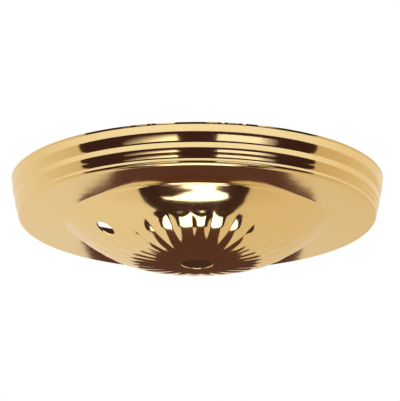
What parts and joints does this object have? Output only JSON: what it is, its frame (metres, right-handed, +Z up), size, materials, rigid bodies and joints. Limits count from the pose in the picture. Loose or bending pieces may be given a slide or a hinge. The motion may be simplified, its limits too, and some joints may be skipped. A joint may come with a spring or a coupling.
{
  "type": "light fixture ceiling canopy",
  "caption": "Round pressed sheet canopy with a stepped rim, flat ring and ribbed dome; covers a ceiling box and carries a hanging light by its centre hole.",
  "frame": {"origin": "centre of the ceiling plane, which is the plane of the rim's edge", "axes": "+Z up into the ceiling, with the dome hanging towards -Z; the two bar screw holes lie on X"},
  "size_m": [0.127, 0.127, 0.0295],
  "materials": {
    "polished_brass": "polished"
  },
  "bodies": {
    "root": {"canopy": "polished_brass"}
  },
  "joints": []
}
